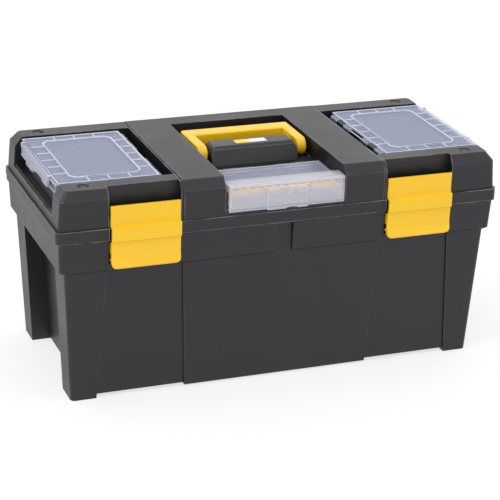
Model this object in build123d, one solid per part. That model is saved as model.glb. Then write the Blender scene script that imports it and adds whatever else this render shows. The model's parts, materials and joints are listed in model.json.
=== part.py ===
from build123d import *
import os

# Toolbox with a lift-out tray, two organisers in the lid, a folding handle and two latches.
# Millimetres, +Z up. X runs along the box, -Y is the front, the origin is on the floor
# under the middle of the box.

# ---- driving dimensions ----
HALF_LENGTH = 290.0      # lid flange, the longest part of the box
HALF_DEPTH = 128.0       # lid flange
FRONT_REACH = 134.0      # latch at the front and hinge knuckle at the back
HEIGHT = 277.0
WALL = 3.0
GAP = 0.3                # between pieces that move past each other
RUN_FIT = 0.05           # radial clearance of a pin that turns in its hole

# base shell, from the floor up
FOOT = (269.5, 114.0)            # half length and half depth
LEG_TOP = (278.5, 121.0)
COLLAR_LOW = (285.0, 124.0)
COLLAR_TOP = (287.0, 126.5)
LEG_TOP_Z = 171.0
COLLAR_Z = 174.0
SEAM_Z = 212.0                   # shoulder under the lid's flange
RIM_Z = 218.3
NECK = (286.4, 124.4)            # the rim inside the flange, above the shoulder
NECK_CORNER = 5.5
REAR_Y = 118.0                   # behind this the collar runs up to the rim
SHADOW = 1.2                     # open line under the flange
TUB_Z = 5.0                      # underside of the tub, above the feet
TUB_LOW = (244.0, 109.0)         # inside of the tub, at its floor and at the ledge
TUB_HIGH = (252.5, 116.0)
RIM_LOW = (281.0, 121.0)         # inside of the collar, above the ledge
RIM_HIGH = (283.0, 122.0)
LEG_IN = 237.0                   # inner side of a foot
CENTRE_PANEL_LOW = 123.0         # half width of the raised panel at the floor and at the collar
CENTRE_PANEL_HIGH = 130.0
LEG_EDGE_HIGH = 226.0
CENTRE_PANEL_Z = 2.5
PANEL_STEP = 2.2                 # how far the plain panels sit back from the legs
END_STEP = 22.5                  # how far the end panels sit back from the legs
END_RECESS_HALF = 75.0           # the gap between the front and back legs
LEDGE_Z = 178.0                  # carries the tray
RIM_LIP = 3.0
NOTCH_HALF = 11.5                # notch in the middle of the collar
NOTCH_Y = -121.4
LATCH_RECESS_LOW = 181.5         # where the collar's latch recesses begin
LATCH_RECESS_RIM_Y = -120.0      # back of those recesses
CATCH_OUT = -121.2               # crest of the ridge that the latch snaps over
CATCH_Z = 191.5

# lid
LID_Z = SEAM_Z + GAP
FLANGE_TOP = 228.0
POCKET_Z = 235.6                 # floors of the latch recesses and of the front box's pocket
WALL_FOOT = (287.0, 125.8)       # the end sections' wall, from the flange up
WALL_TOP = (284.5, 125.2)
CAP_TOP = (275.5, 118.0)
CHAMFER_Z = 264.5
SIDE_TOP = HEIGHT - 0.8          # the end sections sit just below the middle one
CENTRE_HALF = 131.5              # half length of the raised middle section
CENTRE_FOOT_Y = 127.0
CENTRE_CHAMFER_Y = 126.8
CENTRE_TOP_Y = 117.0
GROOVE_WIDTH = 1.2               # open line beside the middle section
GROOVE_HALF = 116.0
WELL_IN = 133.5                  # organiser wells, from here to the end of the lid
WELL_HALF = 93.0
WELL_FLOOR = 238.6
RECESS_HALF = 78.5               # handle recess
RECESS_BACK = 90.0
RECESS_FLOOR = 253.0
POCKET_BACK = -47.5              # the front box stands in a deeper pocket
BOSS_FLOOR = 249.5               # the arms' round ends turn in two small wells
LID_CEILING = 273.5              # underside of the lid's top
CEILING_EDGE_Z = 266.0
ABOVE = 290.0                    # cuts that are open at the top end here
IN_FRONT = -140.0                # and cuts that are open at the front here
BEHIND = 140.0
MIDDLE_CHAMFER_Z = 265.0
DIMPLE_X = 251.0
DIMPLE_Y = 105.5

# rear hinge
HINGE_Y = 130.2
HINGE_Z = 221.0
KNUCKLE_R = FRONT_REACH - HINGE_Y
HINGE_PIN_R = 1.8
HINGE_CENTRES = (-190.0, 0.0, 190.0)
BASE_KNUCKLE = 16.0
LID_KNUCKLE = 28.0

# latches
LATCH_X = 180.0
LATCH_HALF = 43.5
LATCH_TOP = 255.5
LATCH_BOTTOM = 177.0
LATCH_CORNER = 7.0
LATCH_THICK = 3.0
LATCH_FACE = -128.5              # above the band
LATCH_LOW_FACE = -131.0          # below the band
LATCH_PIVOT_Y = -121.8
LATCH_PIVOT_Z = 250.5
LATCH_PIN_R = 1.8
LATCH_LUG_R = 3.3
LATCH_LUG_HALF = 8.0
LATCH_LUG_PITCH = 32.0
LATCH_RIB = 2.2                  # ribs behind the plate's two sides
LATCH_RECESS_HALF = 45.0
LATCH_RECESS_Y = -111.5

# handle
PIVOT_Y = 1.5
PIVOT_Z = 264.5
BOSS_R = 11.8
ROD_R = 3.0
BAIL_HALF = 73.5
ARM_WIDTH = 13.0
BAR_FRONT = 42.0
BAR_BACK = 64.0
BAR_LOW = 262.0
BAIL_TOP = PIVOT_Z + BOSS_R
HUB_HALF = 58.0
HUB_TOP = HEIGHT - 0.5
LABEL = (42.0, 13.0)             # seat of the label in the hub's top
LABEL_Y = 2.0

# organisers
BIN_IN = 151.5
BIN_OUT = 274.5
BIN_HALF = 84.5
BIN_FLOOR = WELL_FLOOR + GAP
BIN_TOP = 272.2
COVER_IN = 150.0
COVER_OUT = 276.5
COVER_HALF = 87.0
COVER_Z = BIN_TOP + GAP
COVER_THICK = 2.0
ORG_PIVOT_X = 147.3
ORG_PIVOT_Z = 270.5
ORG_PIN_R = 1.2
CLASP_X = 279.2
CLASP_Z = 273.0
CLASP_FRONT = -54.0              # the clasp runs from here to CLASP_BACK
CLASP_BACK = 70.0
EAR = 3.7                        # ears at the clasp's ends, on the cover
KNUCKLE_HALF = 10.0
ORG_KNUCKLE_R = 2.8
BIN_KNUCKLES = (-50.0, 50.0)
COVER_KNUCKLES = (-70.5, -29.5, 29.5, 70.5)
SKIRT_LOW = 268.4                # lower edge of the cover's skirt
EAR_Z = (269.8, 275.4)
LOOP_Z = 262.0                   # foot of the pull loop
DIVIDER_Y = 28.0
DIVIDER_TOP = 269.0
RIB = 1.2                        # width of a rib on the covers
RIB_PITCH = 26.0

# front box
BOX_HALF = 75.5
BOX_FRONT = -128.8
BOX_BACK = -52.0
BOX_FLOOR = POCKET_Z + GAP
BOX_TOP = 256.0
BOX_WALL = 1.8
BOX_COVER_TOP = 259.0
BAND_TOP = 267.0
BAND_BACK = -108.0
BOX_PIVOT_Y = -49.8
BOX_PIVOT_Z = 258.2
BOX_PIN_R = 0.9
BOX_KNUCKLE_R = 1.7
BOX_KNUCKLES = (-45.0, 45.0)
BOX_COVER_KNUCKLES = (-66.0, -24.0, 24.0, 66.0)
SKIN = 1.8                       # the cover's front skin
SKIN_LOW = 233.5
TAB_HALF = 26.0                  # the opening tab, in the middle of the skin
TAB_LOW = 232.3
TAB_OUT = -133.6
DECK_TOP = 255.0                 # deck of the bit rack
DECK_THICK = 5.5
BIT_R = 3.4
BIT_PITCH = 11.0
BIT_COUNT = 12

# tray
TRAY_HALF = (245.0, 111.0)
TRAY_LOW_HALF = (243.0, 107.0)
TRAY_Z = 128.0
TRAY_TOP = 212.0
TRAY_WALL = 2.2
TRAY_MIDDLE = 3.0                # thickness of the wall along the middle
TRAY_MIDDLE_TOP = 204.0
TRAY_CROSS_X = 82.0
TRAY_EAR_HALF = 276.0            # half length over the ears
TRAY_EAR_DEPTH = 62.0
GRIP_TOP = 226.0
GRIP_UNDER = 219.0
GRIP_HALF = 72.0
GRIP_DEPTH = 16.0


def block(x, y, z):
    """A box given by its low and high limit along each axis."""
    size = (x[1] - x[0], y[1] - y[0], z[1] - z[0])
    centre = ((x[0] + x[1]) / 2, (y[0] + y[1]) / 2, (z[0] + z[1]) / 2)
    return Pos(*centre) * Box(*size)


def frustum(low, high, z0, z1, radius):
    """A block with rounded corners whose half sizes change from low to high."""
    bottom = Plane.XY.offset(z0) * RectangleRounded(2 * low[0], 2 * low[1], radius)
    top = Plane.XY.offset(z1) * RectangleRounded(2 * high[0], 2 * high[1], radius)
    return loft([bottom, top], ruled=True)


def inset(half, x_step, y_step):
    return (half[0] - x_step, half[1] - y_step)


def rod_x(x0, x1, y, z, radius):
    return Pos((x0 + x1) / 2, y, z) * Rot(0, 90, 0) * Cylinder(radius, x1 - x0)


def rod_y(y0, y1, x, z, radius):
    return Pos(x, (y0 + y1) / 2, z) * Rot(90, 0, 0) * Cylinder(radius, y1 - y0)


def prism_y(points, y0, y1):
    """An outline drawn in X and Z, extruded from y0 to y1."""
    face = Plane.XZ * make_face(Polyline(*points, close=True))
    return Pos(0, y1, 0) * extrude(face, y1 - y0)


def prism_x(points, x0, x1):
    """An outline drawn in Y and Z, extruded from x0 to x1."""
    face = Plane.YZ * make_face(Polyline(*points, close=True))
    return Pos(x0, 0, 0) * extrude(face, x1 - x0)


def both_sides(shape):
    """The shape and its mirror image in the YZ plane."""
    return shape + mirror(shape, about=Plane.YZ)


def front_and_back(shape):
    """The shape and its mirror image in the XZ plane."""
    return shape + mirror(shape, about=Plane.XZ)


def save(shape, name):
    export_step(shape, "parts/" + name + ".step")


# ---- base shell ----
def base_outline():
    legs = frustum(FOOT, LEG_TOP, 0, LEG_TOP_Z, 6)
    flare = frustum(LEG_TOP, COLLAR_LOW, LEG_TOP_Z, COLLAR_Z, 6)
    collar = frustum(COLLAR_LOW, COLLAR_TOP, COLLAR_Z, RIM_Z, 6)
    return legs + flare + collar


def base_recesses():
    """What is cut from the outline to leave four legs and a raised centre panel."""
    far = HALF_LENGTH + 10
    slot = block((200, far), (-END_RECESS_HALF, END_RECESS_HALF), (-1, COLLAR_Z))
    ends = both_sides(slot) - frustum(
        inset(FOOT, END_STEP, 0), inset(LEG_TOP, END_STEP, 0), -1, COLLAR_Z + 1, 2)
    panel = prism_y([(CENTRE_PANEL_LOW, -1), (LEG_IN, -1), (LEG_EDGE_HIGH, COLLAR_Z),
                     (CENTRE_PANEL_HIGH, COLLAR_Z)], -HALF_DEPTH, HALF_DEPTH)
    panels = both_sides(panel) - frustum(
        inset(FOOT, 0, PANEL_STEP), inset(LEG_TOP, 0, PANEL_STEP), -1, COLLAR_Z, 2)
    underside = block((-far, far), (-HALF_DEPTH, HALF_DEPTH), (-1, TUB_Z))
    foot = block((LEG_IN, far), (END_RECESS_HALF, HALF_DEPTH), (-2, TUB_Z))
    centre_foot = block((-CENTRE_PANEL_LOW, CENTRE_PANEL_LOW), (END_RECESS_HALF, HALF_DEPTH),
                        (CENTRE_PANEL_Z, TUB_Z))
    return ends + panels + (underside - front_and_back(both_sides(foot) + centre_foot))


def tub_space():
    """The inside of the tub, which reaches down into each of the four legs."""
    space = frustum(TUB_LOW, TUB_HIGH, TUB_Z + WALL, LEDGE_Z, 5)
    space += frustum(RIM_LOW, RIM_HIGH, LEDGE_Z, RIM_Z + RIM_LIP + 1, 5)
    pocket_low = inset(FOOT, WALL, WALL)
    pocket_high = inset(LEG_TOP, WALL, WALL)
    y0 = END_RECESS_HALF + WALL
    corner = block((LEG_IN + WALL, HALF_LENGTH), (y0, HALF_DEPTH), (0, LEG_TOP_Z))
    legs = frustum(pocket_low, pocket_high, WALL, LEG_TOP_Z, 4)
    legs &= front_and_back(both_sides(corner))
    mouth = block((LEG_IN + WALL, pocket_high[0]), (y0, pocket_high[1]), (LEG_TOP_Z, LEDGE_Z))
    return space + legs + front_and_back(both_sides(mouth))


def flange_room():
    """The rebate round the front and the ends of the rim, over which the lid's flange hangs."""
    band = block((-HALF_LENGTH, HALF_LENGTH), (-HALF_DEPTH - 1, REAR_Y),
                 (SEAM_Z - SHADOW, RIM_Z + RIM_LIP))
    return band - frustum(NECK, NECK, SEAM_Z - SHADOW - 1, RIM_Z + RIM_LIP + 1, NECK_CORNER)


def latch_catch():
    """A ridge across the collar's latch recess, under the lid's flange."""
    root = LATCH_RECESS_RIM_Y + 1
    profile = [(root, CATCH_Z - 3), (CATCH_OUT, CATCH_Z - 1), (CATCH_OUT, CATCH_Z + 1),
               (root, CATCH_Z + 3)]
    return prism_x(profile, LATCH_X - LATCH_HALF + 8, LATCH_X + LATCH_HALF - 8)


def base_knuckle(x):
    arm = block((x, x + BASE_KNUCKLE), (124, HINGE_Y), (204, HINGE_Z))
    arm -= prism_x([(127, 203), (140, 203), (140, 216)], x, x + BASE_KNUCKLE)
    barrel = rod_x(x, x + BASE_KNUCKLE, HINGE_Y, HINGE_Z, KNUCKLE_R)
    inside = block((x, x + BASE_KNUCKLE), (120, COLLAR_TOP[1] - 0.4), (RIM_Z, HINGE_Z + 1))
    return arm + barrel - inside


def make_base():
    shell = base_outline() - base_recesses()
    lip = frustum(inset(RIM_HIGH, -1.2, -1.2), inset(RIM_HIGH, -1.0, -1.0),
                  RIM_Z - 1, RIM_Z + RIM_LIP, 5)
    shell = shell - flange_room() + lip - tub_space()
    pad = block((LATCH_X - LATCH_RECESS_HALF - 4.5, LATCH_X + LATCH_RECESS_HALF + 4.5),
                (LATCH_RECESS_RIM_Y - WALL, LATCH_RECESS_RIM_Y + WALL),
                (LATCH_RECESS_LOW - WALL, RIM_Z))
    recess = block((LATCH_X - LATCH_RECESS_HALF, LATCH_X + LATCH_RECESS_HALF),
                   (-HALF_DEPTH, LATCH_RECESS_RIM_Y), (LATCH_RECESS_LOW, RIM_Z + RIM_LIP + 1))
    shell += both_sides(pad)
    shell -= both_sides(recess)
    shell += both_sides(latch_catch())
    shell += block((-NOTCH_HALF - WALL, NOTCH_HALF + WALL), (NOTCH_Y, NOTCH_Y + WALL),
                   (LEG_TOP_Z, RIM_Z))
    shell -= block((-NOTCH_HALF, NOTCH_HALF), (-HALF_DEPTH, NOTCH_Y), (LEG_TOP_Z, SEAM_Z))
    for x in HINGE_CENTRES:
        shell += base_knuckle(x - LID_KNUCKLE / 2 - GAP - BASE_KNUCKLE)
        shell += base_knuckle(x + LID_KNUCKLE / 2 + GAP)
    shell -= rod_x(-HALF_LENGTH, HALF_LENGTH, HINGE_Y, HINGE_Z, HINGE_PIN_R)
    return shell


def make_hinge_pins():
    half = LID_KNUCKLE / 2 + GAP + BASE_KNUCKLE
    pins = [rod_x(x - half, x + half, HINGE_Y, HINGE_Z, HINGE_PIN_R) for x in HINGE_CENTRES]
    return Compound(children=pins)


# ---- lid ----
def lid_outline():
    flange = frustum((HALF_LENGTH, HALF_DEPTH), (HALF_LENGTH, HALF_DEPTH), LID_Z, FLANGE_TOP, 8)
    wall = frustum(WALL_FOOT, WALL_TOP, FLANGE_TOP, CHAMFER_Z, 6)
    cap = frustum(WALL_TOP, CAP_TOP, CHAMFER_Z, SIDE_TOP, 5)
    middle_wall = frustum((CENTRE_HALF, CENTRE_FOOT_Y), (CENTRE_HALF, CENTRE_CHAMFER_Y),
                          FLANGE_TOP, MIDDLE_CHAMFER_Z, 0.5)
    middle_cap = frustum((CENTRE_HALF, CENTRE_CHAMFER_Y), (CENTRE_HALF, CENTRE_TOP_Y),
                         MIDDLE_CHAMFER_Z, HEIGHT, 0.5)
    return flange + wall + cap + middle_wall + middle_cap


def lid_cavity():
    flange_inside = inset((HALF_LENGTH, HALF_DEPTH), 3.2, 3.2)
    wall_foot = inset(WALL_FOOT, WALL, 3.2)
    wall_top = inset(WALL_TOP, 3.1, 3.2)
    flange = frustum(flange_inside, flange_inside, LID_Z - 1, FLANGE_TOP - 2.5, 5)
    wall = frustum(wall_foot, wall_top, FLANGE_TOP - 3, CEILING_EDGE_Z, 4)
    cap = frustum(wall_top, inset(CAP_TOP, 2.1, 4), CEILING_EDGE_Z, LID_CEILING, 3)
    return flange + wall + cap


def organiser_well():
    """The right hand well, open at the end of the lid between two corner posts."""
    return block((WELL_IN, HALF_LENGTH + 10), (-WELL_HALF, WELL_HALF), (WELL_FLOOR, ABOVE))


def handle_recess():
    upper = block((-RECESS_HALF, RECESS_HALF), (IN_FRONT, RECESS_BACK), (RECESS_FLOOR, ABOVE))
    pocket = block((-RECESS_HALF, RECESS_HALF), (IN_FRONT, POCKET_BACK), (POCKET_Z, ABOVE))
    boss = block((HUB_HALF + 1, RECESS_HALF - 2), (-14, 17), (BOSS_FLOOR, PIVOT_Z))
    return upper + pocket + both_sides(boss)


def lid_walls():
    """Walls and floors of the wells and recesses, as solid blocks to be cut out later."""
    well = block((WELL_IN - WALL, 283), (-WELL_HALF - WALL, WELL_HALF + WALL),
                 (WELL_FLOOR - WALL, 275))
    recess = block((-RECESS_HALF - WALL, RECESS_HALF + WALL), (-125, RECESS_BACK + WALL),
                   (RECESS_FLOOR - WALL, 275))
    pocket = block((-RECESS_HALF - WALL, RECESS_HALF + WALL), (-125, POCKET_BACK + WALL),
                   (POCKET_Z - WALL, 275))
    boss = block((HUB_HALF - 2, RECESS_HALF + WALL), (-17, 20), (BOSS_FLOOR - WALL, 260))
    latch = block((LATCH_X - LATCH_RECESS_HALF - WALL, LATCH_X + LATCH_RECESS_HALF + WALL),
                  (-124, LATCH_RECESS_Y + WALL), (POCKET_Z - WALL, LID_CEILING))
    return both_sides(well + boss + latch) + recess + pocket


def dimple(x, y):
    """A shallow round seat with two small holes in the top of a corner."""
    seat = Pos(x, y, SIDE_TOP) * Cylinder(8.5, 2)
    holes = [Pos(x + side * 4.8, y, SIDE_TOP) * Cylinder(2, 12) for side in (-1, 1)]
    return seat + holes[0] + holes[1]


def lid_knuckle(x):
    arm = block((x - LID_KNUCKLE / 2, x + LID_KNUCKLE / 2), (124.5, HINGE_Y), (HINGE_Z, 234))
    arm -= prism_x([(128, 235), (140, 235), (140, 226)],
                   x - LID_KNUCKLE / 2, x + LID_KNUCKLE / 2)
    barrel = rod_x(x - LID_KNUCKLE / 2, x + LID_KNUCKLE / 2, HINGE_Y, HINGE_Z, KNUCKLE_R)
    return arm + barrel


def hinge_notch(x0, x1):
    """Room in the flange for one base knuckle and its arm."""
    return (rod_x(x0, x1, HINGE_Y, HINGE_Z, KNUCKLE_R + GAP)
            + block((x0, x1), (COLLAR_TOP[1] - 1.2, BEHIND), (LID_Z - 1, HINGE_Z)))


def make_lid():
    shell = lid_outline() - lid_cavity()
    shell += lid_walls() & lid_outline()
    shell -= both_sides(organiser_well()) + handle_recess()
    latch_recess = block((LATCH_X - LATCH_RECESS_HALF, LATCH_X + LATCH_RECESS_HALF),
                         (IN_FRONT, LATCH_RECESS_Y), (POCKET_Z, ABOVE))
    shell -= both_sides(latch_recess)
    span = (LATCH_X - LATCH_RECESS_HALF, LATCH_X + LATCH_RECESS_HALF)
    shell -= both_sides(block(span, (IN_FRONT, 1 - HALF_DEPTH), (LID_Z - 1, FLANGE_TOP)))
    shell -= both_sides(block(span, (IN_FRONT, 3 - HALF_DEPTH), (FLANGE_TOP, POCKET_Z + 1)))
    shell -= block((-HALF_LENGTH - 1, HALF_LENGTH + 1), (REAR_Y - 0.5, BEHIND),
                   (LID_Z - 1, RIM_Z + GAP))
    shell -= both_sides(latch_pin_rod(LATCH_PIN_R))
    groove = block((CENTRE_HALF - 0.2, CENTRE_HALF + GROOVE_WIDTH), (-GROOVE_HALF, GROOVE_HALF),
                   (SIDE_TOP - GROOVE_WIDTH, ABOVE))
    shell -= both_sides(groove)
    shell -= front_and_back(both_sides(dimple(DIMPLE_X, -DIMPLE_Y)))
    for x in HINGE_CENTRES:
        half = LID_KNUCKLE / 2
        shell -= hinge_notch(x - half - BASE_KNUCKLE - 2 * GAP, x - half)
        shell -= hinge_notch(x + half, x + half + BASE_KNUCKLE + 2 * GAP)
        shell += lid_knuckle(x)
        shell -= rod_x(x - half - 1, x + half + 1, HINGE_Y, HINGE_Z, HINGE_PIN_R + RUN_FIT)
    return shell


# ---- latches ----
def latch_pin_rod(radius):
    reach = LATCH_RECESS_HALF + WALL - 0.5
    return rod_x(LATCH_X - reach, LATCH_X + reach, LATCH_PIVOT_Y, LATCH_PIVOT_Z, radius)


def make_latch():
    """The right hand latch: flat top, a band that steps out over the flange, flared grip."""
    face = LATCH_FACE
    back = face + LATCH_THICK
    band = -FRONT_REACH
    inside = band + LATCH_THICK
    low = LATCH_LOW_FACE
    low_back = low + LATCH_THICK
    lip = low - 2.4
    bead = -121.5
    outline = [
        (face, LATCH_TOP), (face, 231.5), (band, 229.3), (band, 212.2), (low, 210.6),
        (low + 0.6, 192), (lip, 179), (lip + 0.8, LATCH_BOTTOM), (lip + LATCH_THICK, LATCH_BOTTOM),
        (low_back + 0.6, 185), (bead, 186), (bead, 187), (low_back + 0.6, 189), (low_back, 208.9),
        (inside, 213.6), (inside, 227.2), (back, 229.4), (back, LATCH_TOP),
    ]
    x0 = LATCH_X - LATCH_HALF
    x1 = LATCH_X + LATCH_HALF
    plate = prism_x(outline, x0, x1)
    envelope = block((x0, x1), (band - 1, bead + 1), (LATCH_BOTTOM, LATCH_TOP))
    corners = [e for e in envelope.edges().filter_by(Axis.Y) if e.center().Z < LATCH_BOTTOM + 1]
    plate = plate & fillet(corners, LATCH_CORNER)
    side_rib = block((x1 - LATCH_RIB, x1), (low_back - 0.5, CATCH_OUT - 1), (195, 208.5))
    plate += side_rib + mirror(side_rib, about=Plane.YZ.offset(LATCH_X))
    for x in (LATCH_X - LATCH_LUG_PITCH, LATCH_X, LATCH_X + LATCH_LUG_PITCH):
        span = (x - LATCH_LUG_HALF, x + LATCH_LUG_HALF)
        plate += block(span, (back - 1, LATCH_PIVOT_Y), (LATCH_PIVOT_Z - 3, LATCH_PIVOT_Z + 3))
        plate += rod_x(*span, LATCH_PIVOT_Y, LATCH_PIVOT_Z, LATCH_LUG_R)
    plate -= rod_x(x0 - 1, x1 + 1, LATCH_PIVOT_Y, LATCH_PIVOT_Z, LATCH_PIN_R + RUN_FIT)
    return plate


# ---- handle ----
def make_hub():
    """A solid bar between the arms, with bevelled ends; it carries the pivot rod."""
    outline = [(-21, RECESS_FLOOR), (17.5, RECESS_FLOOR), (16, 272), (12, HUB_TOP),
               (-9.5, HUB_TOP), (-14, 273)]
    bar = prism_x(outline, -HUB_HALF, HUB_HALF)
    bevel = prism_y([(HUB_HALF - 8, 280), (HUB_HALF + 1, 280), (HUB_HALF + 1, 262),
                     (HUB_HALF - 0.5, 268)], -40, 40)
    bar -= both_sides(bevel)
    bar -= Pos(0, LABEL_Y, HUB_TOP) * Box(*LABEL, 1.2)
    bar -= rod_x(-HUB_HALF - 1, HUB_HALF + 1, PIVOT_Y, PIVOT_Z, ROD_R)
    return bar


def make_bail():
    """Crossbar and two arms that end in round bosses."""
    bar = block((-BAIL_HALF, BAIL_HALF), (BAR_FRONT, BAR_BACK), (BAR_LOW, BAIL_TOP))
    upright = [e for e in bar.edges().filter_by(Axis.Z) if e.center().Y > BAR_BACK - 1]
    bar = fillet(upright, 4)
    arm_in = BAIL_HALF - ARM_WIDTH
    arm = block((arm_in, BAIL_HALF), (PIVOT_Y, BAR_FRONT + 1), (PIVOT_Z - 1.5, BAIL_TOP))
    arm += rod_x(arm_in, BAIL_HALF, PIVOT_Y, PIVOT_Z, BOSS_R)
    bail = bar + both_sides(arm)
    top_edges = [e for e in bail.edges() if e.center().Z > BAIL_TOP - 0.01
                 and e.center().Y > PIVOT_Y + 2]
    bail = fillet(top_edges, 2.2)
    return bail - rod_x(-80, 80, PIVOT_Y, PIVOT_Z, ROD_R + RUN_FIT)


# ---- organisers ----
def make_bin():
    """The right hand bin, with hinge knuckles on its inner wall and a catch on the outer."""
    half = (BIN_OUT - BIN_IN) / 2
    outer = frustum((half - 1, BIN_HALF - 1), (half, BIN_HALF), BIN_FLOOR, BIN_TOP, 4)
    inner = frustum((half - 2.8, BIN_HALF - 2.8), (half - 1.8, BIN_HALF - 1.8),
                    BIN_FLOOR + 2, BIN_TOP + 1, 3)
    tub = Pos((BIN_IN + BIN_OUT) / 2, 0, 0) * (outer - inner)
    for y in BIN_KNUCKLES:
        span = (y - KNUCKLE_HALF, y + KNUCKLE_HALF)
        tub += rod_y(*span, ORG_PIVOT_X, ORG_PIVOT_Z, ORG_KNUCKLE_R)
        tub += block((ORG_PIVOT_X, BIN_IN + 1.2), span, (ORG_PIVOT_Z - ORG_KNUCKLE_R, ORG_PIVOT_Z))
    tub -= rod_y(-BIN_HALF - 5, BIN_HALF + 5, ORG_PIVOT_X, ORG_PIVOT_Z, ORG_PIN_R)
    catch = [(BIN_OUT - 0.5, 264.5), (BIN_OUT + 0.7, 265.5), (BIN_OUT + 0.7, 266.5),
             (BIN_OUT - 0.5, 267.5)]
    return tub + prism_y(catch, -40, 40)


def make_dividers():
    """Two cross walls that stand loose in the bin."""
    span = (BIN_IN + 3.1, BIN_OUT - 3.1)
    z = (BIN_FLOOR + 2, DIVIDER_TOP)
    walls = [block(span, (y - 0.8, y + 0.8), z) for y in (-DIVIDER_Y, DIVIDER_Y)]
    return Compound(children=walls)


def cover_ribs():
    """A rectangle of raised rib with cut corners, and short ribs out to the edges."""
    x0, x1, y1 = 167.0, 256.0, 70.0
    cut = 7.0
    edge = 3.0
    outline = Polyline((x0 + cut, -y1), (x1 - cut, -y1), (x1, -y1 + cut), (x1, y1 - cut),
                       (x1 - cut, y1), (x0 + cut, y1), (x0, y1 - cut), (x0, -y1 + cut), close=True)
    face = make_face(outline)
    sunk = COVER_Z + COVER_THICK - 0.1
    ribs = Pos(0, 0, sunk) * extrude(offset(face, 0.7 * RIB) - offset(face, -0.7 * RIB), 1.5)
    z = (sunk, sunk + 1.1)
    for step in range(-2, 3):
        width = (step * RIB_PITCH - RIB / 2, step * RIB_PITCH + RIB / 2)
        ribs += block((COVER_IN + edge, x0), width, z)
        ribs += block((x1, COVER_OUT - edge), width, z)
    for step in range(-1, 2):
        x = (x0 + x1) / 2 - 0.5 + step * RIB_PITCH
        width = (x - RIB / 2, x + RIB / 2)
        ribs += front_and_back(block(width, (y1, COVER_HALF - edge), z))
    rim = block((COVER_IN, COVER_OUT), (-COVER_HALF, COVER_HALF), (sunk, sunk + 0.9))
    rim -= block((COVER_IN + 1.6, COVER_OUT - 1.6), (-COVER_HALF + 1.6, COVER_HALF - 1.6),
                 (sunk - 1, sunk + 2))
    return ribs + rim


def pull_loop():
    """An upright loop on the cover's outer edge, in front of the clasp."""
    x0 = CLASP_X - 1.2
    back = CLASP_FRONT - GAP - 1
    frame = block((COVER_OUT - 1, x0 + 2.2), (-COVER_HALF, back), (LOOP_Z, COVER_Z + 1.5))
    hole = block((COVER_OUT - 2, x0 + 4), (-COVER_HALF + 2.4, back - 3.2),
                 (LOOP_Z + 2.2, COVER_Z - 0.6))
    return frame - hole


def make_cover():
    """The right hand cover: a thin plate with a skirt on three sides."""
    top = COVER_Z + COVER_THICK
    plate = block((COVER_IN, COVER_OUT), (-COVER_HALF, COVER_HALF), (COVER_Z, top))
    skirt = block((COVER_IN + 4, COVER_OUT), (-COVER_HALF, COVER_HALF), (SKIRT_LOW, top))
    skirt -= block((COVER_IN, BIN_OUT + 1), (-BIN_HALF - 0.5, BIN_HALF + 0.5),
                   (SKIRT_LOW - 1, COVER_Z + 0.5))
    cover = plate + skirt + cover_ribs()
    corners = [e for e in cover.edges().filter_by(Axis.Z) if e.center().X > COVER_OUT - 0.1
               and abs(e.center().Y) > COVER_HALF - 0.1]
    cover = fillet(corners, 1.2)
    for y in COVER_KNUCKLES:
        span = (y - KNUCKLE_HALF, y + KNUCKLE_HALF)
        cover += rod_y(*span, ORG_PIVOT_X, ORG_PIVOT_Z, ORG_KNUCKLE_R)
        cover += block((ORG_PIVOT_X, COVER_IN + 1), span, (COVER_Z, ORG_PIVOT_Z + ORG_KNUCKLE_R))
    cover -= rod_y(-90, 90, ORG_PIVOT_X, ORG_PIVOT_Z, ORG_PIN_R + RUN_FIT)
    cover += pull_loop()
    for y in (CLASP_FRONT - GAP - EAR, CLASP_BACK + GAP):
        cover += block((COVER_OUT - 1, CLASP_X + 2.2), (y, y + EAR), EAR_Z)
    hole = rod_y(CLASP_FRONT - EAR - GAP - 1, CLASP_BACK + EAR + GAP + 1,
                 CLASP_X, CLASP_Z, ORG_PIN_R + RUN_FIT)
    return cover - hole


def make_clasp():
    """The flap on the cover's outer edge, turning on two short trunnions of its own."""
    outline = [(277.4, 274.2), (280.6, 274.2), (281.4, 273), (281.4, 263), (282.4, 260.5),
               (280.8, 260), (278.4, 262), (275.7, 263), (275.7, 263.8), (278.4, 265.2)]
    flap = prism_y(outline, CLASP_FRONT, CLASP_BACK)
    flap += rod_y(CLASP_FRONT - EAR, CLASP_BACK + EAR, CLASP_X, CLASP_Z, ORG_PIN_R)
    flap -= block((276, 284), (-30, 2), (259, 262.4))
    tongue = prism_y([(280.4, 264), (281.8, 264), (282.8, 257), (281.4, 256.6)], 12, 44)
    return flap + tongue


# ---- front box ----
def box_pin_hole(radius):
    return rod_x(-BOX_HALF - 1, BOX_HALF + 1, BOX_PIVOT_Y, BOX_PIVOT_Z, radius)


def make_front_box():
    outer = block((-BOX_HALF, BOX_HALF), (BOX_FRONT, BOX_BACK), (BOX_FLOOR, BOX_TOP))
    outer = fillet(outer.edges().filter_by(Axis.Z), 2)
    inner = block((-BOX_HALF + BOX_WALL, BOX_HALF - BOX_WALL),
                  (BOX_FRONT + BOX_WALL, BOX_BACK - BOX_WALL), (BOX_FLOOR + BOX_WALL, HEIGHT))
    box = outer - inner
    arm = [(BOX_BACK - 1, 252), (BOX_BACK, 252), (BOX_PIVOT_Y + BOX_KNUCKLE_R, BOX_PIVOT_Z),
           (BOX_PIVOT_Y - BOX_KNUCKLE_R, BOX_PIVOT_Z), (BOX_BACK - 1, BOX_TOP)]
    for x in BOX_KNUCKLES:
        box += rod_x(x - 9, x + 9, BOX_PIVOT_Y, BOX_PIVOT_Z, BOX_KNUCKLE_R)
        box += prism_x(arm, x - 9, x + 9)
    return box - box_pin_hole(BOX_PIN_R)


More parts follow.
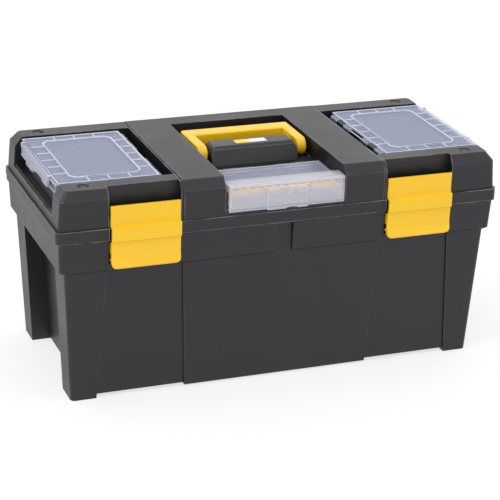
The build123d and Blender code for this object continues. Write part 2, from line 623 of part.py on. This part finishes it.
def make_front_cover():
    """Hinged at the back, with a raised band and a skin over the front of the box."""
    low = BOX_TOP + GAP
    front = BOX_FRONT - 0.4
    face = front - SKIN
    outline = [
        (BOX_PIVOT_Y - 1.5, low + 0.6), (BOX_PIVOT_Y - 1.5, BOX_COVER_TOP), (BAND_BACK, BOX_COVER_TOP),
        (BAND_BACK - 1, BAND_TOP), (face + 1.5, BAND_TOP), (face, BAND_TOP - 1.5),
        (face, SKIN_LOW), (front, SKIN_LOW), (front, BAND_TOP - 2.5),
        (BAND_BACK - 2.5, BAND_TOP - 2.5), (BAND_BACK - 1.5, low), (BOX_BACK - 0.5, low),
    ]
    cover = prism_x(outline, -BOX_HALF, BOX_HALF)
    cap = [(front, low), (BAND_BACK - 1.5, low), (BAND_BACK - 1.5, BAND_TOP - 1),
           (front, BAND_TOP - 1)]
    cover += both_sides(prism_x(cap, BOX_HALF - 2, BOX_HALF))
    tab = prism_x([(face + 0.5, 262), (TAB_OUT + 0.4, 259.5), (TAB_OUT, 237),
                   (TAB_OUT + 1, TAB_LOW), (front - 0.2, TAB_LOW), (face + 0.5, 234)],
                  -TAB_HALF, TAB_HALF)
    thumb_hollow = Pos(6, TAB_OUT - 0.4, TAB_LOW - 0.3) * scale(Sphere(1), (9, 5, 4))
    seat = Pos(2, TAB_OUT, BOX_TOP) * Rot(90, 0, 0) * Cylinder(3.4, 1.2)
    cover += tab - thumb_hollow - seat
    for x in BOX_COVER_KNUCKLES:
        cover += rod_x(x - 8, x + 8, BOX_PIVOT_Y, BOX_PIVOT_Z, BOX_KNUCKLE_R)
    for x in BOX_KNUCKLES:
        cover -= block((x - 9.3, x + 9.3), (BOX_BACK - 1.5, -40), (250, 262))
    return cover - box_pin_hole(BOX_PIN_R + RUN_FIT)


def make_insert():
    """A rack for bits: a deck with round holes on two end walls, with teeth along its front."""
    floor = BOX_FLOOR + BOX_WALL
    half = BOX_HALF - BOX_WALL - 1.7
    deck = (DECK_TOP - DECK_THICK, DECK_TOP)
    front = -125.0
    step = -118.0
    back = -103.0
    rack = block((-half, half), (step - 0.5, back), deck)
    for x0, x1 in ((-half, -30), (-20, -8), (17, 28), (34, half)):
        rack += block((x0, x1), (front, step), deck)
    rack += both_sides(block((half - 2, half), (front, back), (floor, DECK_TOP)))
    for i in range(BIT_COUNT):
        x = (i - (BIT_COUNT - 1) / 2) * BIT_PITCH
        rack -= Pos(x, (step + back) / 2, DECK_TOP) * Cylinder(BIT_R, 3 * DECK_THICK)
    return rack


# ---- tray ----
def make_tray():
    """An open tub with a wall along the middle, three cross walls and an ear at each end."""
    low = inset(TRAY_LOW_HALF, TRAY_WALL, TRAY_WALL)
    high = inset(TRAY_HALF, TRAY_WALL, TRAY_WALL)
    hollow = frustum(low, high, TRAY_Z + TRAY_WALL, TRAY_TOP + 0.1, 4)
    z = (TRAY_Z, TRAY_MIDDLE_TOP)
    thin = TRAY_WALL / 2
    walls = block((-TRAY_HALF[0], TRAY_HALF[0]), (-TRAY_MIDDLE / 2, TRAY_MIDDLE / 2), z)
    for x in (-TRAY_CROSS_X, TRAY_CROSS_X):
        walls += block((x - thin, x + thin), (-TRAY_HALF[1], 0), z)
    walls += block((-thin, thin), (0, TRAY_HALF[1]), z)
    tub = frustum(TRAY_LOW_HALF, TRAY_HALF, TRAY_Z, TRAY_TOP, 6)
    tray = tub - (hollow - walls)
    ear = block((TRAY_LOW_HALF[0], TRAY_EAR_HALF), (-TRAY_EAR_DEPTH, TRAY_EAR_DEPTH),
                (LEDGE_Z + GAP, LEDGE_Z + 3))
    return tray + both_sides(ear - hollow)


def make_tray_grip():
    """An arch on the tray's middle wall, wide enough for the fingers."""
    outer = [(-GRIP_HALF, TRAY_MIDDLE_TOP), (-GRIP_HALF + 12, GRIP_TOP),
             (GRIP_HALF - 12, GRIP_TOP), (GRIP_HALF, TRAY_MIDDLE_TOP)]
    inner = [(-GRIP_HALF + 15, TRAY_MIDDLE_TOP - 1), (-GRIP_HALF + 22, GRIP_UNDER),
             (GRIP_HALF - 22, GRIP_UNDER), (GRIP_HALF - 15, TRAY_MIDDLE_TOP - 1)]
    arch = prism_y(outer, -GRIP_DEPTH / 2, GRIP_DEPTH / 2)
    return arch - prism_y(inner, -GRIP_DEPTH, GRIP_DEPTH)


# ---- write the pieces ----
os.makedirs("parts", exist_ok=True)

save(make_base(), "base_shell")
save(make_hinge_pins(), "lid_hinge_pins")
save(make_lid(), "lid_shell")

latch = make_latch()
latch_pin = latch_pin_rod(LATCH_PIN_R)
save(latch, "latch_right")
save(mirror(latch, about=Plane.YZ), "latch_left")
save(latch_pin, "latch_pin_right")
save(mirror(latch_pin, about=Plane.YZ), "latch_pin_left")

save(make_hub(), "handle_hub")
save(make_bail(), "handle_bail")
save(rod_x(-BAIL_HALF + 0.5, BAIL_HALF - 0.5, PIVOT_Y, PIVOT_Z, ROD_R), "handle_pivot_rod")
save(Pos(0, LABEL_Y, HUB_TOP - 0.3) * Box(LABEL[0] - 0.4, LABEL[1] - 0.4, 0.6), "handle_label")

organiser = {
    "organiser_bin": make_bin(),
    "organiser_dividers": make_dividers(),
    "organiser_cover": make_cover(),
    "organiser_hinge_pin": rod_y(-80.5, 80.5, ORG_PIVOT_X, ORG_PIVOT_Z, ORG_PIN_R),
    "organiser_clasp": make_clasp(),
}
for name, shape in organiser.items():
    save(shape, name + "_right")
    save(mirror(shape, about=Plane.YZ), name + "_left")

save(make_front_box(), "front_box")
save(make_front_cover(), "front_box_cover")
save(make_insert(), "front_box_bit_rack")
save(rod_x(-74, 74, BOX_PIVOT_Y, BOX_PIVOT_Z, BOX_PIN_R), "front_box_hinge_pin")

save(make_tray(), "tray")
save(make_tray_grip(), "tray_grip")
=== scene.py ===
import json
import math

import bmesh
import bpy
from mathutils import Matrix, Vector


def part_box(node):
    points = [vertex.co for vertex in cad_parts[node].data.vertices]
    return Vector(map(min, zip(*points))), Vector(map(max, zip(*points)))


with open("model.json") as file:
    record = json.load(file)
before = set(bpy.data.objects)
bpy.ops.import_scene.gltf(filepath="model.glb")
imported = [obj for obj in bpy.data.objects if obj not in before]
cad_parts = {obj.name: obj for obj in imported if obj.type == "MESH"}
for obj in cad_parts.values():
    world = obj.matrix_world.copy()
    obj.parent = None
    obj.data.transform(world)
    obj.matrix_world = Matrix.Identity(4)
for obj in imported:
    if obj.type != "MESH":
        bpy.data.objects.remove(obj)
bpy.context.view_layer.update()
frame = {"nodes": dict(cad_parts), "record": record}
nodes = frame["nodes"]

# ---- camera, in metres and degrees ----
CAMERA_AT = Vector((-0.8195, -2.1079, 1.0311))
CAMERA_YAW = 21.34
CAMERA_PITCH = -21.80
CAMERA_ROLL = 1.90
LENS = 134.5             # millimetres, on a sensor this wide
SENSOR = 36

# ---- light ----
WORLD_STRENGTH = 1.3
KEY_AT = (-2.2, -0.8, 2.4)
KEY_SIZE = 1.6
KEY_ENERGY = 18
FLOOR_SIZE = 12
FLOOR_GLOW = 0.68        # lifts the floor to the white of a studio sweep

# ---- widths of rounded edges, in metres ----
SHELL_BEVEL = 0.0009
TRIM_BEVEL = 0.0006
TRAY_BEVEL = 0.0007
LABEL_BEVEL = 0.0001
PIN_BEVEL = 0.0002
CLEAR_BEVEL = 0.00035
WELD_GAP = 0.00001
PALE_EDGE_REACH = 0.0012      # width of the paler strip along an edge, partly rubbed wear and partly a painted highlight


def add_camera():
    yaw, pitch, roll = (math.radians(a) for a in (CAMERA_YAW, CAMERA_PITCH, CAMERA_ROLL))
    level_reach = math.cos(pitch)
    forward = Vector((math.sin(yaw) * level_reach, math.cos(yaw) * level_reach, math.sin(pitch)))
    level = forward.cross(Vector((0, 0, 1))).normalized()
    upright = level.cross(forward)
    right = level * math.cos(roll) + upright * math.sin(roll)
    up = upright * math.cos(roll) - level * math.sin(roll)
    data = bpy.data.cameras.new("camera")
    data.lens = LENS
    data.sensor_width = SENSOR
    camera = bpy.data.objects.new("camera", data)
    turn = Matrix((right, up, -forward)).transposed().to_4x4()
    camera.matrix_world = Matrix.Translation(CAMERA_AT) @ turn
    bpy.context.scene.collection.objects.link(camera)
    bpy.context.scene.camera = camera


# ---- small node helpers ----
class Nodes:
    """Makes one node material and keeps its tree and shader at hand."""

    def __init__(self, name):
        self.material = bpy.data.materials.new(name)
        self.material.use_nodes = True
        self.tree = self.material.node_tree
        self.shader = self.tree.nodes["Principled BSDF"]
        coordinates = self.add("ShaderNodeTexCoord")
        self.place = coordinates.outputs["Object"]
        self.normal = coordinates.outputs["Normal"]

    def add(self, kind, **values):
        node = self.tree.nodes.new(kind)
        for key, value in values.items():
            if key in node.inputs:
                node.inputs[key].default_value = value
            else:
                setattr(node, key, value)
        return node

    def link(self, output, node, socket):
        self.tree.links.new(output, node.inputs[socket])

    def set(self, **values):
        for key, value in values.items():
            self.shader.inputs[key.replace("_", " ")].default_value = value

    def noise(self, scale, detail=4.0, roughness=0.6, stretch=(1, 1, 1), turn=(0, 0, 0)):
        mapping = self.add("ShaderNodeMapping", Scale=stretch, Rotation=turn)
        self.link(self.place, mapping, "Vector")
        noise = self.add("ShaderNodeTexNoise", Scale=scale, Detail=detail, Roughness=roughness)
        self.link(mapping.outputs["Vector"], noise, "Vector")
        return noise.outputs["Fac"]

    def ramp(self, value, low, high, start=0.0, end=1.0):
        """value between low and high becomes start to end."""
        node = self.add("ShaderNodeMapRange")
        node.inputs["From Min"].default_value = low
        node.inputs["From Max"].default_value = high
        node.inputs["To Min"].default_value = start
        node.inputs["To Max"].default_value = end
        self.link(value, node, "Value")
        return node.outputs["Result"]

    def mix(self, factor, a, b):
        """Blends two colours; a colour mix node has its colours on inputs 6 and 7."""
        node = self.add("ShaderNodeMix", data_type="RGBA")
        if isinstance(factor, float):
            node.inputs["Factor"].default_value = factor
        else:
            self.link(factor, node, "Factor")
        for index, colour in ((6, a), (7, b)):
            if isinstance(colour, tuple):
                node.inputs[index].default_value = (*colour, 1)
            else:
                self.tree.links.new(colour, node.inputs[index])
        return node.outputs[2]

    def maths(self, operation, a, b):
        node = self.add("ShaderNodeMath", operation=operation)
        for index, value in enumerate((a, b)):
            if isinstance(value, (int, float)):
                node.inputs[index].default_value = value
            else:
                self.tree.links.new(value, node.inputs[index])
        return node.outputs["Value"]

    def bump(self, heights):
        """Chains bumps; heights is a list of (value, strength, distance in metres)."""
        normal = None
        for value, strength, distance in heights:
            node = self.add("ShaderNodeBump", Strength=strength, Distance=distance)
            self.link(value, node, "Height")
            if normal is not None:
                self.link(normal, node, "Normal")
            normal = node.outputs["Normal"]
        self.link(normal, self.shader, "Normal")

    def near_edge(self, reach):
        """1 on the strip along an outer edge, where a short way inwards meets the surface again."""
        node = self.add("ShaderNodeAmbientOcclusion", samples=8, inside=True, only_local=True)
        node.inputs["Distance"].default_value = reach
        return self.ramp(node.outputs["AO"], 0.93, 0.68)

    def colour(self, output):
        self.link(output, self.shader, "Base Color")

    def roughness(self, output):
        self.link(output, self.shader, "Roughness")


# ---- materials ----
def grained_plastic(name, dark, light, rough, scuff=0.3, rub_and_highlight=None):
    """Moulded plastic with spark-eroded grain, uneven sheen, pale scuffs and edges painted paler,
    partly as rubbed wear and partly as a painted highlight.
    """
    m = Nodes(name)
    cloud = m.noise(7, detail=5)
    grain = m.noise(1500, detail=2)
    base = m.mix(m.ramp(cloud, 0.35, 0.7), dark, light)
    speckled = m.mix(m.ramp(grain, 0.62, 0.8, 0.0, 0.35), base, tuple(2.2 * c for c in light))
    scratches = m.noise(26, detail=7, roughness=0.75, stretch=(1, 9, 9), turn=(0, 0.12, 0.5))
    patches = m.noise(11, detail=3)
    mask = m.maths("MULTIPLY", m.ramp(scratches, 0.66, 0.74), m.ramp(patches, 0.52, 0.66))
    pale = tuple(4.5 * c + 0.03 for c in light)
    surface = m.mix(m.maths("MULTIPLY", mask, scuff), speckled, pale)
    if rub_and_highlight is not None:
        rubbed = m.ramp(m.noise(38, detail=7, roughness=0.75), 0.4, 0.6, 0.1, 1.0)
        # outer edges painted paler in rubbed stretches: part wear, part painted highlight
        surface = m.mix(m.maths("MULTIPLY", m.near_edge(PALE_EDGE_REACH), rubbed), surface, rub_and_highlight)
    m.colour(surface)
    m.roughness(m.maths("ADD", m.ramp(cloud, 0.3, 0.7, rough - 0.05, rough + 0.06),
                        m.ramp(grain, 0.3, 0.7, -0.03, 0.05)))
    m.bump([(grain, 0.2, 0.0004), (m.noise(420, detail=3), 0.1, 0.0005), (cloud, 0.05, 0.002)])
    m.set(IOR=1.5)
    return m.material


def rubbed_and_highlit_edge(name, dark, light, rough):
    """The same plastic rubbed paler in stretches, mostly on edges that face up, where the paleness
    is a painted highlight.
    """
    m = Nodes(name)
    split = m.add("ShaderNodeSeparateXYZ")
    m.link(m.normal, split, "Vector")
    # edges that face up are painted paler: a painted highlight, broken into stretches by rubbed
    # wear
    highlight_facing_up = m.ramp(split.outputs["Z"], 0.02, 0.4, 0.08, 1.0)
    rubbed = m.ramp(m.noise(34, detail=6, roughness=0.7), 0.34, 0.6, 0.15, 1.0)
    m.colour(m.mix(m.maths("MULTIPLY", highlight_facing_up, rubbed), dark, light))
    m.roughness(m.ramp(m.noise(300), 0.3, 0.7, rough - 0.06, rough + 0.08))
    m.bump([(m.noise(900, detail=3), 0.12, 0.0003)])
    return m.material


def bright_plastic(name, colour, deep, rough):
    """Glossier coloured moulding with slight flow marks and fine dull rubs."""
    m = Nodes(name)
    flow = m.noise(9, detail=4, stretch=(1, 1, 2.5))
    grain = m.noise(1300, detail=2)
    base = m.mix(m.ramp(flow, 0.3, 0.75), colour, deep)
    rubs = m.noise(40, detail=8, roughness=0.8, stretch=(8, 1, 1), turn=(0, 0.4, 0))
    dulled = tuple(0.75 * c + 0.12 for c in colour)
    m.colour(m.mix(m.ramp(rubs, 0.7, 0.82, 0.0, 0.4), base, dulled))
    m.roughness(m.ramp(m.noise(80, detail=5), 0.3, 0.7, rough - 0.06, rough + 0.08))
    m.bump([(grain, 0.1, 0.0003), (m.noise(160, detail=2), 0.05, 0.0006)])
    m.set(Subsurface_Weight=0.08, Subsurface_Scale=0.003)
    return m.material


def frosted_plastic(name, tint, white, see_through, rough, thick=None, thick_cover=0.9, rubs=0.3):
    """Thin translucent polypropylene, faintly blue; thick is an axis and where it turns whiter."""
    m = Nodes(name)
    flow = m.noise(14, detail=4, stretch=(1, 2, 2))
    body = m.mix(m.ramp(flow, 0.3, 0.7), tint, tuple(1.05 * c for c in tint))
    scratches = m.noise(60, detail=9, roughness=0.8, stretch=(10, 1, 1), turn=(0, 0, 0.7))
    body = m.mix(m.ramp(scratches, 0.72, 0.85, 0.0, rubs), body, white)
    cover = 1.0 - see_through
    if thick is None:
        m.link(m.ramp(flow, 0.3, 0.7, cover - 0.01, cover + 0.02), m.shader, "Alpha")
    else:
        split = m.add("ShaderNodeSeparateXYZ")
        m.link(m.place, split, "Vector")
        axis, thin_at, thick_at = thick
        milky = m.ramp(split.outputs[axis], thin_at, thick_at)
        body = m.mix(milky, body, white)
        m.link(m.ramp(milky, 0.0, 1.0, cover, thick_cover), m.shader, "Alpha")
    m.colour(body)
    m.roughness(m.maths("ADD", m.ramp(flow, 0.3, 0.7, rough - 0.04, rough + 0.05),
                        m.ramp(scratches, 0.68, 0.8, 0.0, 0.6 * rubs)))
    m.bump([(m.noise(700, detail=2), 0.02, 0.00005)])
    m.set(IOR=1.48)
    return m.material


def drawn_steel(name):
    """Wire with fine lines along it."""
    m = Nodes(name)
    lines = m.noise(90, detail=6, stretch=(0.3, 9, 9))
    m.colour(m.mix(m.ramp(lines, 0.3, 0.7), (0.38, 0.38, 0.39), (0.6, 0.6, 0.61)))
    m.roughness(m.ramp(lines, 0.3, 0.7, 0.22, 0.4))
    m.bump([(lines, 0.15, 0.0002)])
    m.set(Metallic=1.0)
    return m.material


def printed_label(name, low_x, high_x):
    """A blank sticker: a yellow field at the left and a pale one at the right."""
    m = Nodes(name)
    split = m.add("ShaderNodeSeparateXYZ")
    m.link(m.place, split, "Vector")
    seam = low_x + 0.46 * (high_x - low_x)
    side = m.ramp(split.outputs["X"], seam, seam + 0.0004)
    dust = m.noise(120, detail=6)
    paper = m.mix(m.ramp(dust, 0.55, 0.75, 0.0, 0.5), (0.66, 0.66, 0.66), (0.5, 0.49, 0.46))
    yellow_field = m.mix(m.ramp(dust, 0.5, 0.7), (0.8, 0.55, 0.02), (0.62, 0.4, 0.03))
    m.colour(m.mix(side, yellow_field, paper))
    m.roughness(m.ramp(dust, 0.3, 0.7, 0.3, 0.45))
    m.bump([(m.noise(500), 0.05, 0.0002)])
    return m.material


# pale edge colours: partly rubbed wear, partly a painted highlight of edges catching the light
EDGE_PALE = (0.20, 0.20, 0.21)
BASE_EDGE = (0.04, 0.04, 0.042)
SHELL_DARK = (0.0045, 0.0045, 0.0066)
SHELL_LIGHT = (0.0068, 0.0068, 0.0092)
base_black = grained_plastic("base_black", SHELL_DARK, SHELL_LIGHT, rough=0.42, rub_and_highlight=BASE_EDGE)
lid_black = grained_plastic("lid_black", SHELL_DARK, SHELL_LIGHT, rough=0.42, rub_and_highlight=EDGE_PALE)
# edge materials: rubbed wear with a painted highlight on edges that face up
base_edge = rubbed_and_highlit_edge("base_edge", (0.007, 0.007, 0.009), BASE_EDGE, 0.45)
lid_edge = rubbed_and_highlit_edge("lid_edge", (0.007, 0.007, 0.009), EDGE_PALE, 0.45)
trim_black = grained_plastic("trim_black", (0.007, 0.007, 0.009), (0.011, 0.011, 0.013), rough=0.38)
trim_edge = rubbed_and_highlit_edge("trim_edge", (0.009, 0.009, 0.011), (0.12, 0.12, 0.125), 0.42)
tray_black = grained_plastic("tray_black", (0.012, 0.012, 0.014), (0.018, 0.018, 0.02), rough=0.5)
yellow = bright_plastic("yellow", (0.79, 0.475, 0.007), (0.75, 0.44, 0.006), 0.36)
yellow_edge = rubbed_and_highlit_edge("yellow_edge", (0.72, 0.40, 0.008), (0.88, 0.60, 0.06), 0.38)
steel = drawn_steel("steel")

# the ribs stand over a millimetre above the plate, and their tops are the cover's highest faces
RIB_HEIGHT = 0.0010
cover_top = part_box("organiser_cover_left")[1][2]
RIB_WHITE = (0.56, 0.59, 0.72)
WHITE = (0.82, 0.83, 0.90)
rib_foot = cover_top - RIB_HEIGHT
cover_clear = frosted_plastic("cover_clear", (0.36, 0.40, 0.56), RIB_WHITE, 0.62, 0.24,
                              thick=("Z", rib_foot - 0.0002, rib_foot + 0.0002))
clasp_clear = frosted_plastic("clasp_clear", (0.46, 0.49, 0.60), WHITE, 0.6, 0.3)
MILKY = (0.66, 0.66, 0.74)
BAND_DEPTH = 0.0256
band_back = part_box("front_box_cover")[0][1] + BAND_DEPTH
box_clear = frosted_plastic("box_clear", MILKY, WHITE, 0.74, 0.2, rubs=0.1)
box_cover_clear = frosted_plastic("box_cover_clear", (0.36, 0.39, 0.54), MILKY, 0.70, 0.2,
                                  thick=("Y", band_back + 0.001, band_back),
                                  thick_cover=0.30, rubs=0.1)

clear_edge = frosted_plastic("clear_edge", (0.62, 0.64, 0.75), WHITE, 0.25, 0.3)

label_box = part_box("handle_label")
label = printed_label("label", label_box[0][0], label_box[1][0])


# ---- CAD nodes: softened edges and materials ----
def soften(obj, edge_material, bevel, clamp=True):
    """Rounds the moulding's edges, evens the shading of flat faces, gives edges their material."""
    weld = obj.modifiers.new("weld", "WELD")
    weld.merge_threshold = WELD_GAP
    flat = obj.modifiers.new("flat", "DECIMATE")
    flat.decimate_type = "DISSOLVE"
    flat.angle_limit = math.radians(1.0)
    soft = obj.modifiers.new("soft", "BEVEL")
    soft.width = bevel
    soft.segments = 2
    soft.limit_method = "ANGLE"
    soft.angle_limit = math.radians(20)
    soft.harden_normals = True
    soft.use_clamp_overlap = clamp
    soft.miter_outer = "MITER_ARC"
    if edge_material is not None:
        obj.data.materials.append(edge_material)
        soft.material = 1
    even = obj.modifiers.new("even", "WEIGHTED_NORMAL")
    even.weight = 100


FINISHES = {
    "black_shell": (base_black, base_edge, SHELL_BEVEL),
    "black_trim": (trim_black, trim_edge, TRIM_BEVEL),
    "yellow_latch": (yellow, yellow_edge, SHELL_BEVEL),
    "yellow_handle": (yellow, yellow_edge, SHELL_BEVEL),
    "grey_tray": (tray_black, base_edge, TRAY_BEVEL),
    "pale_label": (label, None, LABEL_BEVEL),
    "steel_pin": (steel, None, PIN_BEVEL),
}
OWN_FINISHES = {"lid_shell": (lid_black, lid_edge, SHELL_BEVEL)}
CLEAR = {"organiser_cover": cover_clear, "organiser_clasp": clasp_clear,
         "front_box_cover": box_cover_clear, "front_box": box_clear}


def finish_nodes():
    for part in frame["record"]["subparts"]:
        name = part["node"]
        obj = nodes[name]
        obj.data.materials.clear()
        for polygon in obj.data.polygons:
            polygon.use_smooth = True
        finish = OWN_FINISHES.get(name, FINISHES.get(part["material_slot"]))
        if finish is not None:
            face_material, edge_material, bevel = finish
            obj.data.materials.append(face_material)
            soften(obj, edge_material, bevel)
        else:
            material = next(CLEAR[start] for start in CLEAR if name.startswith(start))
            obj.data.materials.append(material)
            is_thin = name.startswith("organiser_clasp")    # unclamped, a clasp's edges grow spikes
            soften(obj, clear_edge, CLEAR_BEVEL, clamp=is_thin)


finish_nodes()


# ---- floor, light and camera ----
def add_floor():
    mesh = bpy.data.meshes.new("floor")
    shape = bmesh.new()
    bmesh.ops.create_grid(shape, x_segments=1, y_segments=1, size=FLOOR_SIZE)
    shape.to_mesh(mesh)
    shape.free()
    floor = bpy.data.objects.new("floor", mesh)
    bpy.context.scene.collection.objects.link(floor)
    paint = Nodes("floor_paint")
    clouds = paint.ramp(paint.noise(3), 0.3, 0.7)
    paint.colour(paint.mix(clouds, (0.27, 0.27, 0.27), (0.29, 0.29, 0.29)))
    paint.set(Roughness=0.9, Specular_IOR_Level=0.0)
    paint.set(Emission_Color=(1, 1, 1, 1), Emission_Strength=FLOOR_GLOW)
    floor.data.materials.append(paint.material)


def add_light(name, at, size, energy):
    data = bpy.data.lights.new(name, "AREA")
    data.shape = "DISK"
    data.size = size
    data.energy = energy
    light = bpy.data.objects.new(name, data)
    light.location = at
    light.rotation_euler = (-Vector(at)).to_track_quat("-Z", "Y").to_euler()
    bpy.context.scene.collection.objects.link(light)


def add_world(strength):
    world = bpy.data.worlds.new("studio")
    world.use_nodes = True
    background = world.node_tree.nodes["Background"]
    background.inputs["Color"].default_value = (1, 1, 1, 1)
    background.inputs["Strength"].default_value = strength
    bpy.context.scene.world = world


add_floor()
add_world(WORLD_STRENGTH)
add_light("key", KEY_AT, KEY_SIZE, KEY_ENERGY)
add_camera()
bpy.context.scene.view_settings.view_transform = "Standard"
